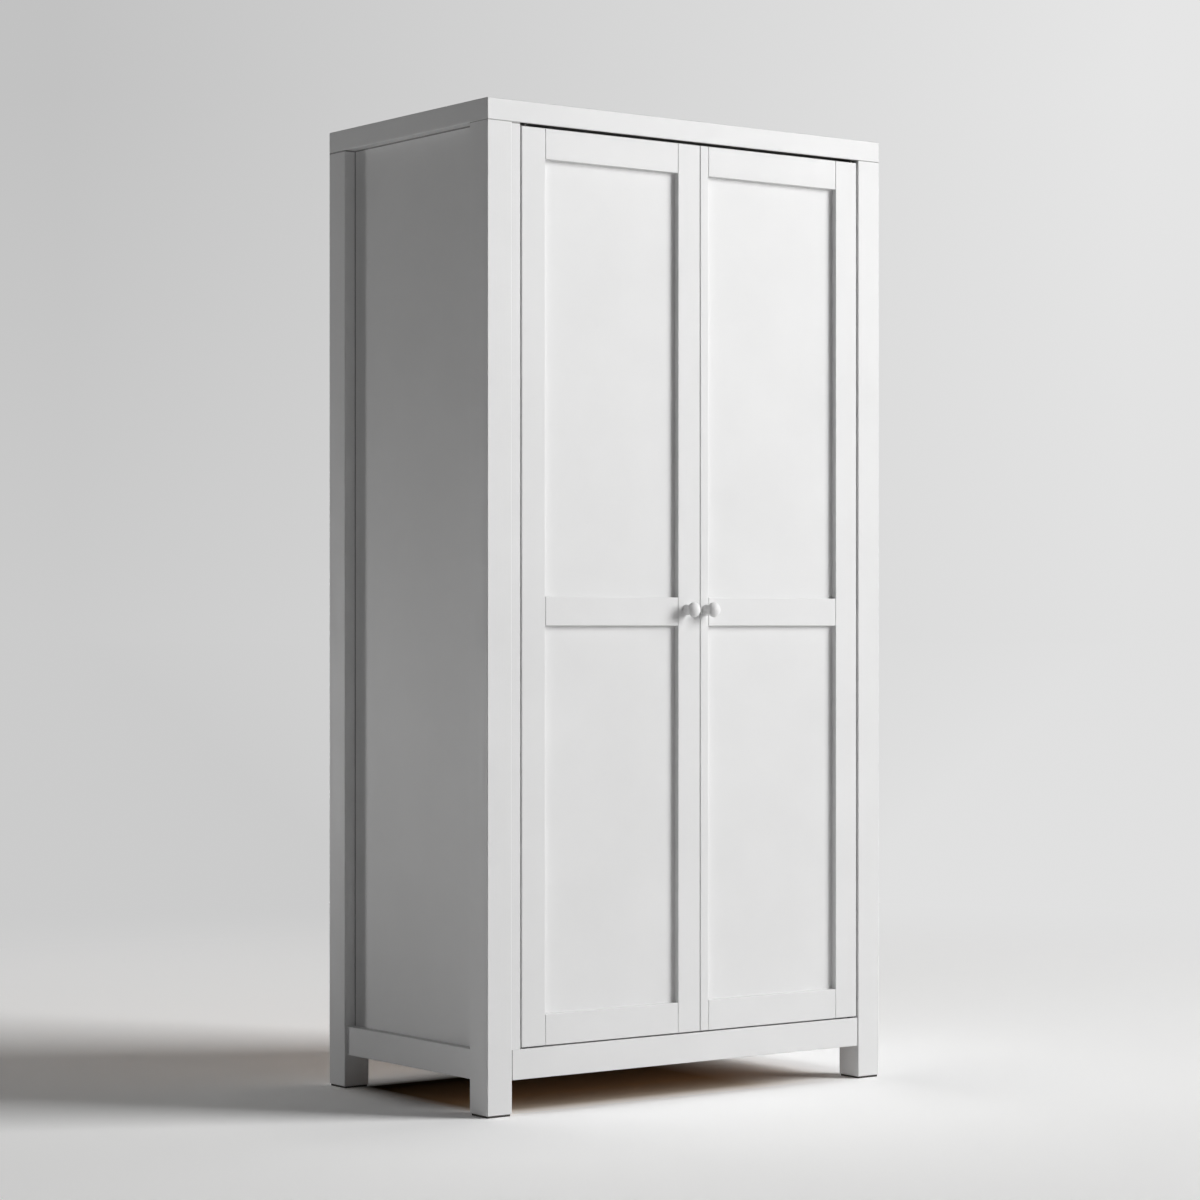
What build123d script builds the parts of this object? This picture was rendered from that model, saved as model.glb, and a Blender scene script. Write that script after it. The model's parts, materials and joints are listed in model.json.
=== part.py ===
from build123d import *
import os

# A white two-door wardrobe: posts, rails and thin panels under a slab top, with two framed doors
# that turn on hidden pivots. Millimetres. X runs from left to right, Y from front to back and
# Z up from the floor. The origin is on the floor, in the middle of the whole outline, knobs included.

# Carcass
width = 1018.0
depth = 585.0
height = 2000.0
top_thickness = 43.0
top_edge_radius = 2.0
post_width = 59.0
post_depth = 62.0
post_edge_radius = 2.0

# Feet
glide_thickness = 4.0
glide_inset = 2.0
glide_corner_radius = 3.0
glide_spigot_diameter = 8.0
glide_spigot_length = 18.0

# Rails between the posts
rail_bottom = 70.0
rail_height = 60.0
rail_thickness = 36.0
rail_edge_radius = 1.5
side_rail_setback = 5.0
rear_rail_setback = 8.0
upper_front_rail_height = 45.0
upper_front_rail_thickness = 22.0
upper_rear_rail_height = 60.0
tenon_length = 25.0
tenon_thickness = 12.0
tenon_shoulder = 10.0
mortise_clearance = 1.0

# Panels of the sides, the back and the floor
side_panel_setback = 24.0
side_panel_thickness = 8.0
back_panel_setback = 14.0
back_panel_thickness = 4.0
muntin_width = 60.0
muntin_thickness = 17.0
panel_engagement = 9.0
panel_clearance = 1.0
floor_thickness = 16.0
board_clearance = 1.0
board_edge_radius = 1.5

# Hat shelf and clothes rail
shelf_below_top = 299.0
shelf_thickness = 18.0
shelf_rail_height = 90.0
rail_tube_diameter = 25.0
rail_tube_wall = 1.5
rail_tube_drop = 52.0
socket_flange_diameter = 52.0
socket_flange_thickness = 4.0
socket_cup_diameter = 31.0
socket_cup_length = 18.0
socket_clearance = 0.1
socket_hole_diameter = 4.5
socket_hole_circle = 41.0

# Fixings of the slab
dowel_diameter = 10.0
dowel_inset = 19.0
dowel_in_post = 25.0
dowel_in_top = 20.0
dowel_clearance = 0.1
dowel_end_room = 1.0
angle_leg = 38.0
angle_width = 20.0
angle_thickness = 2.0
angle_hole_diameter = 4.5
angle_spacing = 500.0

# Doors
door_thickness = 22.0
door_recess = 2.0
door_side_gap = 3.8
door_top_gap = 6.0
door_bottom_gap = 3.0
meeting_gap = 2.0
strip_width = 20.9
left_door_width = 447.1
hinge_stile_width = 57.3
left_meeting_stile_width = 56.1
right_meeting_stile_width = 20.7
door_top_rail_height = 61.0
door_middle_rail_height = 58.0
middle_rail_below_knob = 4.0
door_bottom_rail_height = 62.0
door_edge_radius = 1.3
hinge_edge_radius = 2.0
door_panel_recess = 12.0
door_panel_thickness = 6.0
door_groove_depth = 9.0
door_joint_gap = 0.6

# Pivots
pivot_edge_distance = 11.0
pivot_face_distance = 7.5
pivot_pin_diameter = 6.0
pivot_pin_reach = 14.0
pivot_plate_length = 42.0
pivot_plate_width = 12.0
pivot_plate_thickness = 3.0
pivot_plate_edge = 3.0
bush_clearance = 0.05
bush_barrel_diameter = 10.0
bush_barrel_length = 16.0
bush_flange_diameter = 12.0
bush_flange_thickness = 1.5
bush_bearing_room = 0.2
bush_seat_clearance = 0.1

# Knobs
knob_diameter = 30.5
knob_projection = 34.0
knob_base_diameter = 22.5
knob_neck_diameter = 19.5
knob_neck_height = 9.0
knob_rim_height = 24.0
knob_rim_radius = 6.5
knob_centre_height = 998.0
left_knob_from_panel = 22.0
right_knob_from_panel = 4.8
knob_screw_diameter = 4.0
knob_screw_in_knob = 18.0
knob_screw_head_diameter = 8.0
knob_screw_head_height = 2.5
knob_screw_clearance = 0.1

# Magnetic catches
catch_width = 46.0
catch_depth = 20.0
catch_height = 15.0
catch_edge_radius = 1.5
catch_from_meeting = 90.0
catch_gap = 0.3
stop_gap = 4.0
strike_width = 38.0
strike_height = 13.0
strike_thickness = 1.5
strike_hole_diameter = 4.0
strike_hole_spacing = 26.0

# Planes of the carcass
knob_overhang = knob_projection - door_recess
left = -width / 2
right = width / 2
front = (knob_overhang - depth) / 2
back = front + depth
top_underside = height - top_thickness
post_left = left + post_width
post_right = right - post_width
post_behind = front + post_depth
post_before = back - post_depth
rail_top = rail_bottom + rail_height
panel_inside = side_panel_setback + side_panel_thickness
muntin_front = back - rear_rail_setback - muntin_thickness
back_panel_back = back - back_panel_setback
back_panel_front = back_panel_back - back_panel_thickness

# Planes of the doors
door_front = front + door_recess
door_back = door_front + door_thickness
door_bottom = rail_top + door_bottom_gap
door_top = top_underside - door_top_gap
stop_front = door_back + stop_gap
strip_right = post_left + strip_width
left_hinge_edge = strip_right + door_side_gap
left_meeting_edge = left_hinge_edge + left_door_width
right_meeting_edge = left_meeting_edge + meeting_gap
right_hinge_edge = post_right - door_side_gap
groove_front = door_front + door_panel_recess
groove_back = groove_front + door_panel_thickness
pivot_y = door_front + pivot_face_distance
middle_rail_centre = knob_centre_height - middle_rail_below_knob

# Places inside
shelf_top = top_underside - shelf_below_top
shelf_underside = shelf_top - shelf_thickness
shelf_back = muntin_front - board_clearance
tube_y = (stop_front + shelf_back) / 2
tube_z = shelf_underside - rail_tube_drop

# Each rail of the carcass: the direction it runs in, then the box between its shoulders
rails = {
    "front_lower_rail": (
        "x", post_left, post_right, door_front, door_front + rail_thickness, rail_bottom, rail_top),
    "rear_lower_rail": (
        "x", post_left, post_right, back - rear_rail_setback - rail_thickness,
        back - rear_rail_setback, rail_bottom, rail_top),
    "front_upper_rail": (
        "x", post_left, post_right, stop_front, stop_front + upper_front_rail_thickness,
        top_underside - upper_front_rail_height, top_underside),
    "rear_upper_rail": (
        "x", post_left, post_right, back - rear_rail_setback - rail_thickness,
        back - rear_rail_setback, top_underside - upper_rear_rail_height, top_underside),
    "left_lower_rail": (
        "y", left + side_rail_setback, left + side_rail_setback + rail_thickness,
        post_behind, post_before, rail_bottom, rail_top),
    "right_lower_rail": (
        "y", right - side_rail_setback - rail_thickness, right - side_rail_setback,
        post_behind, post_before, rail_bottom, rail_top),
    "left_shelf_rail": (
        "y", left + panel_inside, post_left, post_behind, post_before,
        shelf_underside - shelf_rail_height, shelf_underside),
    "right_shelf_rail": (
        "y", post_right, right - panel_inside, post_behind, post_before,
        shelf_underside - shelf_rail_height, shelf_underside),
}

# The footprint of each post
posts = {
    "front_left_post": (left, post_left, front, post_behind),
    "front_right_post": (post_right, right, front, post_behind),
    "rear_left_post": (left, post_left, post_before, back),
    "rear_right_post": (post_right, right, post_before, back),
}

pieces = {}


# Simple solids
def block(x0, x1, y0, y1, z0, z1):
    """A box between two corners, given in any order."""
    centre = Pos((x0 + x1) / 2, (y0 + y1) / 2, (z0 + z1) / 2)
    return centre * Box(abs(x1 - x0), abs(y1 - y0), abs(z1 - z0))


def upright_rod(x, y, z0, z1, diameter):
    """A round rod along Z."""
    return Pos(x, y, (z0 + z1) / 2) * Cylinder(diameter / 2, z1 - z0)


def cross_rod(x0, x1, y, z, diameter):
    """A round rod along X."""
    return Pos((x0 + x1) / 2, y, z) * Rot(Y=90) * Cylinder(diameter / 2, x1 - x0)


def depth_rod(x, y0, y1, z, diameter):
    """A round rod along Y."""
    return Pos(x, (y0 + y1) / 2, z) * Rot(X=90) * Cylinder(diameter / 2, y1 - y0)


def middle(a, b):
    return (a + b) / 2


def front_edges(piece):
    """The edges that lie on a piece's front face."""
    return piece.edges().group_by(Axis.Y)[0]


# Joinery of the carcass
def tenons(rail, extra=0.0):
    """The bar whose two ends are a rail's tenons or, with extra length, its mortises."""
    run, x0, x1, y0, y1, z0, z1 = rail
    reach = tenon_length + extra
    low, high = z0 + tenon_shoulder, z1 - tenon_shoulder
    if run == "x":
        y = middle(y0, y1)
        return block(x0 - reach, x1 + reach, y - tenon_thickness / 2, y + tenon_thickness / 2, low, high)
    x = middle(x0, x1)
    return block(x - tenon_thickness / 2, x + tenon_thickness / 2, y0 - reach, y1 + reach, low, high)


def side_panel(outer, inward, room=0.0):
    """A side panel in its grooves; room makes it the cutter for those grooves."""
    reach = panel_engagement + room
    return block(
        outer + inward * side_panel_setback, outer + inward * panel_inside,
        post_behind - reach, post_before + reach, rail_top - reach, top_underside + reach)


def back_panel(post_face, muntin_face, inward, room=0.0):
    """A back panel in its grooves; room makes it the cutter for those grooves."""
    reach = panel_engagement + room
    return block(
        post_face - inward * reach, muntin_face + inward * reach, back_panel_front, back_panel_back,
        rail_top - reach, top_underside - upper_rear_rail_height + reach)


def panel_grooves():
    """The cutters of all the grooves that hold the side and back panels."""
    half = muntin_width / 2
    return [
        side_panel(left, 1, panel_clearance),
        side_panel(right, -1, panel_clearance),
        back_panel(post_left, -half, 1, panel_clearance),
        back_panel(post_right, half, -1, panel_clearance),
    ]


def dowel(x, y, room=0.0, end_room=0.0):
    """A dowel between a post and the slab; the rooms make it the cutter for its hole."""
    return upright_rod(
        x, y, top_underside - dowel_in_post - end_room, top_underside + dowel_in_top + end_room,
        dowel_diameter + 2 * room)


def dowel_places():
    """The outer part of each post's top, clear of the rails' tenons."""
    return [
        (x, y) for x in (left + dowel_inset, right - dowel_inset)
        for y in (front + dowel_inset, back - dowel_inset)]


def post_centres():
    return [(middle(x0, x1), middle(y0, y1)) for x0, x1, y0, y1 in posts.values()]


def dowel_holes():
    return [dowel(x, y, dowel_clearance, dowel_end_room) for x, y in dowel_places()]


# Pieces of the carcass
def glide(x, y, room=0.0):
    """A foot pad and the spigot that holds it; room makes the spigot the cutter for its hole."""
    half_x = post_width / 2 - glide_inset
    half_y = post_depth / 2 - glide_inset
    pad = block(x - half_x, x + half_x, y - half_y, y + half_y, 0, glide_thickness)
    pad = fillet(pad.edges().filter_by(Axis.Z), glide_corner_radius)
    spigot_top = glide_thickness + glide_spigot_length + room
    return pad + upright_rod(x, y, 0, spigot_top, glide_spigot_diameter + 2 * room)


def post(x0, x1, y0, y1):
    """A post with eased edges, cut for every rail, panel, dowel and glide that meets it."""
    piece = block(x0, x1, y0, y1, glide_thickness, top_underside)
    piece = fillet(piece.edges() - piece.edges().group_by(Axis.Z)[-1], post_edge_radius)
    piece -= [tenons(rail, mortise_clearance) for rail in rails.values()]
    piece -= panel_grooves() + dowel_holes()
    return piece - glide(middle(x0, x1), middle(y0, y1), dowel_clearance)


def carcass_rail(rail):
    """A rail with eased long edges and a tenon at each end, grooved where a panel sits in it."""
    run, *corners = rail
    piece = block(*corners)
    piece = fillet(piece.edges().filter_by(Axis.X if run == "x" else Axis.Y), rail_edge_radius)
    return piece + tenons(rail) - panel_grooves()


def rear_groove():
    """The groove between the rear rails that the back panels and the muntin's tongues share."""
    reach = panel_engagement + panel_clearance
    return block(
        post_left, post_right, back_panel_front, back_panel_back,
        rail_top - reach, top_underside - upper_rear_rail_height + reach)


def back_muntin():
    """The upright between the two back panels, with a tongue at each end."""
    half = muntin_width / 2
    tongue = half - panel_engagement - panel_clearance
    upper = top_underside - upper_rear_rail_height
    piece = block(-half, half, muntin_front, back - rear_rail_setback, rail_top, upper)
    piece = fillet(piece.edges().filter_by(Axis.Z), rail_edge_radius)
    piece += block(
        -tongue, tongue, back_panel_front, back_panel_back,
        rail_top - panel_engagement, upper + panel_engagement)
    return piece - panel_grooves()


def board(front_edge, back_edge, low, high):
    """A board between the side panels, notched round the posts."""
    inset = panel_inside + board_clearance
    piece = block(left + inset, right - inset, front_edge, back_edge, low, high)
    piece = fillet(front_edges(piece).filter_by(Axis.X), board_edge_radius)
    for x0, x1, y0, y1 in posts.values():
        piece -= block(
            x0 - board_clearance, x1 + board_clearance, y0 - board_clearance, y1 + board_clearance, low, high)
    return piece


def top_panel():
    """The slab, with grooves, dowel holes and bush seats in its underside."""
    piece = block(left, right, front, back, top_underside, height)
    piece = fillet(piece.edges(), top_edge_radius)
    piece -= panel_grooves() + dowel_holes()
    return piece - [upper_bush_seat(x) for x in (left_axis, right_axis)]


def front_lower_rail():
    """The rail under the doors, with the seats of the lower bushes."""
    piece = carcass_rail(rails["front_lower_rail"])
    return piece - [lower_bush_seat(x) for x in (left_axis, right_axis)]


def hinge_strip():
    """The upright strip that fills the space between the left post and the left door."""
    piece = block(post_left, strip_right, door_front, door_back, rail_top, top_underside)
    return fillet(front_edges(piece).filter_by(Axis.Z), door_edge_radius)


def angle(x, face, inward):
    """A steel angle that ties an upper rail to the slab; inward is its way along Y."""
    low = top_underside - angle_leg
    x0, x1 = x - angle_width / 2, x + angle_width / 2
    plate_face = face + inward * angle_thickness
    upright = block(x0, x1, face, plate_face, low, top_underside)
    flat = block(x0, x1, face, face + inward * angle_leg, top_underside - angle_thickness, top_underside)
    y0, y1 = sorted((face, plate_face))
    return upright + flat - [
        depth_rod(x, y0, y1, top_underside - angle_leg / 2, angle_hole_diameter),
        upright_rod(
            x, face + inward * angle_leg / 2, top_underside - angle_thickness, top_underside,
            angle_hole_diameter),
    ]


def angles():
    """Two angles behind the front upper rail and two before the rear one."""
    front_face = rails["front_upper_rail"][4]
    rear_face = rails["rear_upper_rail"][3]
    places = [-angle_spacing / 2, angle_spacing / 2]
    return [angle(x, face, way) for x in places for face, way in ((front_face, 1), (rear_face, -1))]


def rail_tube():
    """The clothes rail, a tube between the floors of its two sockets."""
    inset = socket_flange_thickness + socket_clearance
    x0, x1 = post_left + inset, post_right - inset
    bore = cross_rod(x0, x1, tube_y, tube_z, rail_tube_diameter - 2 * rail_tube_wall)
    return cross_rod(x0, x1, tube_y, tube_z, rail_tube_diameter) - bore


def rail_socket(face, inward):
    """A flanged cup on a shelf rail that takes one end of the clothes rail."""
    floor = face + inward * socket_flange_thickness
    mouth = face + inward * socket_cup_length
    piece = cross_rod(*sorted((face, floor)), tube_y, tube_z, socket_flange_diameter)
    piece += cross_rod(*sorted((face, mouth)), tube_y, tube_z, socket_cup_diameter)
    piece -= cross_rod(*sorted((floor, mouth)), tube_y, tube_z, rail_tube_diameter + 2 * socket_clearance)
    for side in (-1, 1):
        z = tube_z + side * socket_hole_circle / 2
        piece -= cross_rod(*sorted((face, floor)), tube_y, z, socket_hole_diameter)
    return piece


# Pivots of the doors
left_axis = left_hinge_edge + pivot_edge_distance
right_axis = right_hinge_edge - pivot_edge_distance


def pivot_plate(hinge_edge, inward, end, into_door):
    """The plate let into one end of a hinge stile; into_door is its way along Z."""
    near = hinge_edge + inward * pivot_plate_edge
    return block(
        near, near + inward * pivot_plate_length,
        pivot_y - pivot_plate_width / 2, pivot_y + pivot_plate_width / 2,
        end, end + into_door * pivot_plate_thickness)


def upper_pivot(hinge_edge, inward):
    axis_x = hinge_edge + inward * pivot_edge_distance
    plate = pivot_plate(hinge_edge, inward, door_top, -1)
    return plate + upright_rod(
        axis_x, pivot_y, door_top - pivot_plate_thickness, top_underside + pivot_pin_reach,
        pivot_pin_diameter)


def lower_pivot(hinge_edge, inward):
    axis_x = hinge_edge + inward * pivot_edge_distance
    plate = pivot_plate(hinge_edge, inward, door_bottom, 1)
    return plate + upright_rod(
        axis_x, pivot_y, rail_top - pivot_pin_reach, door_bottom + pivot_plate_thickness,
        pivot_pin_diameter)


def bush(axis_x, face, inward, flange):
    """A flanged bush; face is the wood that it is pressed into and inward its way along Z."""
    deep = face + inward * bush_barrel_length
    proud = face - inward * flange
    barrel = upright_rod(axis_x, pivot_y, *sorted((face, deep)), bush_barrel_diameter)
    collar = upright_rod(axis_x, pivot_y, *sorted((face, proud)), bush_flange_diameter)
    bore = pivot_pin_diameter + 2 * bush_clearance
    return barrel + collar - upright_rod(axis_x, pivot_y, *sorted((proud, deep)), bore)


def upper_bush(axis_x):
    return bush(axis_x, top_underside, 1, bush_flange_thickness)


def lower_bush(axis_x):
    """The lower bush's collar fills the gap under the door and carries its weight."""
    return bush(axis_x, rail_top, -1, door_bottom_gap - bush_bearing_room)


def upper_bush_seat(axis_x):
    reach = bush_barrel_length + bush_seat_clearance
    hole = bush_barrel_diameter + 2 * bush_seat_clearance
    return upright_rod(axis_x, pivot_y, top_underside, top_underside + reach, hole)


def lower_bush_seat(axis_x):
    reach = bush_barrel_length + bush_seat_clearance
    hole = bush_barrel_diameter + 2 * bush_seat_clearance
    return upright_rod(axis_x, pivot_y, rail_top - reach, rail_top, hole)


# Knobs
def knob(x):
    """A turned knob: a hollowed neck, a round rim and a domed crown, with a hole for its screw."""
    base, neck, head = knob_base_diameter / 2, knob_neck_diameter / 2, knob_diameter / 2
    rim_centre = Vector(head - knob_rim_radius, knob_rim_height)
    rim_drop = knob_projection - knob_rim_height
    crown_radius = (rim_centre.X**2 + rim_drop**2 - knob_rim_radius**2) / (2 * (rim_drop - knob_rim_radius))
    crown_centre = Vector(0, knob_projection - crown_radius)
    shoulder = crown_centre + (rim_centre - crown_centre).normalized() * crown_radius
    under = rim_centre - Vector(0, knob_rim_radius)
    outline = [
        Polyline((0, knob_projection), (0, 0), (base, 0)),
        ThreePointArc((base, 0), (neck, knob_neck_height), under),
        ThreePointArc(under, (head, knob_rim_height), shoulder),
        TangentArc((0, knob_projection), shoulder, tangent=(1, 0)),
    ]
    turned = revolve(Plane.XZ * make_face(outline), Axis.Z)
    placed = Pos(x, door_front, knob_centre_height) * Rot(X=90) * turned
    return placed - knob_screw_shank(x, knob_screw_clearance)


def knob_screw_shank(x, room=0.0):
    tip = door_front - knob_screw_in_knob - room
    return depth_rod(x, tip, door_back, knob_centre_height, knob_screw_diameter + 2 * room)


def knob_screw(x):
    head = depth_rod(
        x, door_back, door_back + knob_screw_head_height, knob_centre_height, knob_screw_head_diameter)
    return head + knob_screw_shank(x)


# Catches
def catch(x):
    """The body of a magnetic catch, screwed under the front upper rail."""
    upper = top_underside - upper_front_rail_height
    face = door_back + strike_thickness + catch_gap
    piece = block(
        x - catch_width / 2, x + catch_width / 2, face, face + catch_depth, upper - catch_height, upper)
    return fillet(piece.edges().filter_by(Axis.Z), catch_edge_radius)


def strike_plate(x):
    """The plate on the back of a door that the catch pulls on."""
    z = top_underside - upper_front_rail_height - catch_height / 2
    piece = block(
        x - strike_width / 2, x + strike_width / 2, door_back, door_back + strike_thickness,
        z - strike_height / 2, z + strike_height / 2)
    for side in (-1, 1):
        hole_x = x + side * strike_hole_spacing / 2
        piece -= depth_rod(hole_x, door_back, door_back + strike_thickness, z, strike_hole_diameter)
    return piece


# Doors
def stile(outer, inner, inward):
    """A door's upright, grooved along its inner edge for the panels and the rails' tongues."""
    piece = block(outer, inner, door_front, door_back, door_bottom, door_top)
    piece = fillet(front_edges(piece), door_edge_radius)
    return piece - block(
        inner - inward * door_groove_depth, inner, groove_front, groove_back, door_bottom, door_top)


def hinge_stile(outer, inner, inward):
    """The stile on the pivots, with its back edge rounded to clear the stops as it turns."""
    piece = stile(outer, inner, inward)
    hinge_side = piece.edges().filter_by(Axis.Z).group_by(Axis.Y)[-1].sort_by(Axis.X)
    piece = fillet(hinge_side[0 if inward > 0 else -1], hinge_edge_radius)
    return piece - [
        pivot_plate(outer, inward, door_top, -1),
        pivot_plate(outer, inward, door_bottom, 1),
    ]


def door_panel(x0, x1, z0, z1, room=0.0):
    """A flat door panel in its grooves; room makes it the cutter for those grooves."""
    reach = door_groove_depth - panel_clearance + room
    x0, x1 = sorted((x0, x1))
    return block(x0 - reach, x1 + reach, groove_front, groove_back, z0 - reach, z1 + reach)


def door_rail(x0, x1, z0, z1, panels):
    """A rail between two stiles, with a tongue at each end and grooves for the panels."""
    reach = door_groove_depth - panel_clearance
    x0, x1 = sorted((x0, x1))
    piece = block(x0 + door_joint_gap, x1 - door_joint_gap, door_front, door_back, z0, z1)
    piece = fillet(front_edges(piece), door_edge_radius)
    piece += block(x0 - reach, x1 + reach, groove_front, groove_back, z0, z1)
    return piece - [door_panel(x0, x1, *span, panel_clearance) for span in panels]


def door(name, hinge_edge, meeting_edge, meeting_stile_width, knob_from_panel):
    """All the pieces of one door, hung at hinge_edge and meeting the other at meeting_edge."""
    inward = 1 if meeting_edge > hinge_edge else -1
    hinge_inner = hinge_edge + inward * hinge_stile_width
    meeting_inner = meeting_edge - inward * meeting_stile_width
    knob_x = meeting_inner + inward * knob_from_panel
    strike_x = meeting_edge - inward * catch_from_meeting
    screw_hole = knob_screw_shank(knob_x, knob_screw_clearance)

    top_rail_low = door_top - door_top_rail_height
    bottom_rail_high = door_bottom + door_bottom_rail_height
    middle_low = middle_rail_centre - door_middle_rail_height / 2
    middle_high = middle_rail_centre + door_middle_rail_height / 2
    upper, lower = (middle_high, top_rail_low), (bottom_rail_high, middle_low)

    def rail(z0, z1, *panels):
        return door_rail(hinge_inner, meeting_inner, z0, z1, panels)

    return {
        f"{name}_hinge_stile": hinge_stile(hinge_edge, hinge_inner, inward),
        f"{name}_meeting_stile": stile(meeting_edge, meeting_inner, -inward) - screw_hole,
        f"{name}_top_rail": rail(top_rail_low, door_top, upper),
        f"{name}_middle_rail": rail(middle_low, middle_high, upper, lower) - screw_hole,
        f"{name}_bottom_rail": rail(door_bottom, bottom_rail_high, lower),
        f"{name}_upper_panel": door_panel(hinge_inner, meeting_inner, *upper),
        f"{name}_lower_panel": door_panel(hinge_inner, meeting_inner, *lower),
        f"{name}_upper_pivot": upper_pivot(hinge_edge, inward),
        f"{name}_lower_pivot": lower_pivot(hinge_edge, inward),
        f"{name}_knob": knob(knob_x),
        f"{name}_knob_screw": knob_screw(knob_x),
        f"{name}_strike_plate": strike_plate(strike_x),
    }


def group(solids):
    """Several separate solids in one node."""
    return Compound(children=solids)


# The whole wardrobe
pieces["top_panel"] = top_panel()
for name, footprint in posts.items():
    pieces[name] = post(*footprint)
for name, rail in rails.items():
    pieces[name] = carcass_rail(rail)
pieces["front_lower_rail"] = front_lower_rail()
for name in ("rear_lower_rail", "rear_upper_rail"):
    pieces[name] -= rear_groove()
pieces["hinge_strip"] = hinge_strip()
pieces["left_side_panel"] = side_panel(left, 1)
pieces["right_side_panel"] = side_panel(right, -1)
pieces["left_back_panel"] = back_panel(post_left, -muntin_width / 2, 1)
pieces["right_back_panel"] = back_panel(post_right, muntin_width / 2, -1)
pieces["back_muntin"] = back_muntin()
pieces["floor_board"] = board(stop_front, shelf_back, rail_top, rail_top + floor_thickness)
pieces["hat_shelf"] = board(post_behind + board_clearance, shelf_back, shelf_underside, shelf_top)
pieces["clothes_rail"] = rail_tube()
pieces["left_rail_socket"] = rail_socket(post_left, 1)
pieces["right_rail_socket"] = rail_socket(post_right, -1)
pieces["top_dowels"] = group([dowel(x, y) for x, y in dowel_places()])
pieces["foot_glides"] = group([glide(x, y) for x, y in post_centres()])
pieces["top_angles"] = group(angles())
pieces["upper_bushes"] = group([upper_bush(x) for x in (left_axis, right_axis)])
pieces["lower_bushes"] = group([lower_bush(x) for x in (left_axis, right_axis)])
pieces["left_catch"] = catch(left_meeting_edge - catch_from_meeting)
pieces["right_catch"] = catch(right_meeting_edge + catch_from_meeting)
pieces |= door(
    "left_door", left_hinge_edge, left_meeting_edge, left_meeting_stile_width, left_knob_from_panel)
pieces |= door(
    "right_door", right_hinge_edge, right_meeting_edge, right_meeting_stile_width, right_knob_from_panel)

os.makedirs("parts", exist_ok=True)
for name, piece in pieces.items():
    export_step(piece, f"parts/{name}.step")
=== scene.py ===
"""Looks of the white two-door wardrobe: paint, board, metal and plastic finishes, screw heads and light.

Lengths are in metres and angles in degrees, unless a name says otherwise.
"""
import json
import math

import bmesh
import bpy
from mathutils import Matrix, Vector


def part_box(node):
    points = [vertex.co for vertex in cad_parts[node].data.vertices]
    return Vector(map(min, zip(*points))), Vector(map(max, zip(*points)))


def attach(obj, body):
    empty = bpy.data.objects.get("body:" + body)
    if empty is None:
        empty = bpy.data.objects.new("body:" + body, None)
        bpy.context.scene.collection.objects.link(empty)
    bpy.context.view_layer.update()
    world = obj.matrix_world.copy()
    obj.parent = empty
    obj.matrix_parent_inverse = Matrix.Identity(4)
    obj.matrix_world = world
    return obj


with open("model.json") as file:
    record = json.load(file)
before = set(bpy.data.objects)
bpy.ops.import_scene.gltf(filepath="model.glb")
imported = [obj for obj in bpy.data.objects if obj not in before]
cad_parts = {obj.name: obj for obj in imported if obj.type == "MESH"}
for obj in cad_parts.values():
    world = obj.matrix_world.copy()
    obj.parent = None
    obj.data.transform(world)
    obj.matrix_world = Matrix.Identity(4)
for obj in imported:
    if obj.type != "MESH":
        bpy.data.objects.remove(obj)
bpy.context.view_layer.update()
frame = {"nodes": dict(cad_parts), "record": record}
nodes = frame["nodes"]
scene = bpy.context.scene
scene.view_settings.view_transform = "Standard"

DOORS = ("left_door", "right_door")
SIDES = ("left", "right")

# Camera, with the photograph's frame in pixels
IMAGE_WIDTH_PX = 1200
FOCAL_LENGTH_PX = 3264.9
HORIZON_PX = 627.6
CAMERA_PLACE = (-4.1365, -5.5377, 0.9613)
CAMERA_YAW = 36.56
SENSOR_MM = 36.0
VIEW_END = 200.0

# Lamps: turn to the right of the doors' normal, rise above the level of the point that they look at, distance
# from it, width and height, and brightness as the share of full white on a white surface that faces them
LAMP_AIM = (0.0, 0.0, 1.0)
LAMPS = {
    "key_lamp": (48.0, 21.0, 12.0, (5.6, 6.4), 1.035),
    "side_lamp": (-150.0, -5.0, 9.0, (1.1, 1.1), 0.20),
    "back_lamp": (180.0, -4.0, 9.0, (2.0, 1.6), 0.36),
}
WORLD_LIGHT = 0.05
WHITE = (1, 1, 1, 1)
NO_LIGHT = (0, 0, 0, 1)

# Floor
FLOOR_HALF = 300.0
FLOOR_COLOUR = (0.88, 0.875, 0.87, 1)      # for the light that it throws back
# painted light: the floor as the camera sees it is paler on the side away from the key lamp, which evens out
# the lamp's fall-off
FLOOR_SEEN_NEAR = (1.17, 1.17, 1.17, 1)    # for the camera, on the key lamp's side
FLOOR_SEEN_FAR = (1.57, 1.57, 1.57, 1)     # for the camera, on the other side
FLOOR_SEEN_WAY = (-0.505, 0.863, 0.0)      # the level way from near to far
FLOOR_SEEN_SPAN = (-1.3, 2.4)              # where near and far lie along it
FLOOR_LIFT = (0.068, 0.066, 0.062, 1)      # painted light for the camera: a glow that lifts the floor's shadow; it fades out close to the wardrobe, which leaves painted shade there
LIFT_SHUN_X = (-0.509, 0.509)              # the part of the floor that the glow keeps off
LIFT_SHUN_Y = (-0.2765, -0.10)
LIFT_NEAR = 0.08                           # distance from there where the glow starts
LIFT_FAR = 0.50                            # distance where it is whole
UNDER_SHADE_FRONT = (0.56, 0.47, 0.38, 1)        # painted shade on the floor under the wardrobe, as the camera sees it: from the front rail
UNDER_SHADE_MIDDLE = (0.53, 0.34, 0.19, 1)       # over the middle, with a painted brown bounce from the raw board,
UNDER_SHADE_REAR = (0.03, 0.02, 0.01, 1)         # to the dark back
UNDER_SHADE_STOPS = (-0.20, -0.06, 0.21)         # where those three lie, along Y
UNDER_SHADE_FRONT_EDGE = (-0.29, -0.20)          # soft edges of that patch, along Y
UNDER_SHADE_REAR_EDGE = (0.24, 0.29)
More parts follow.
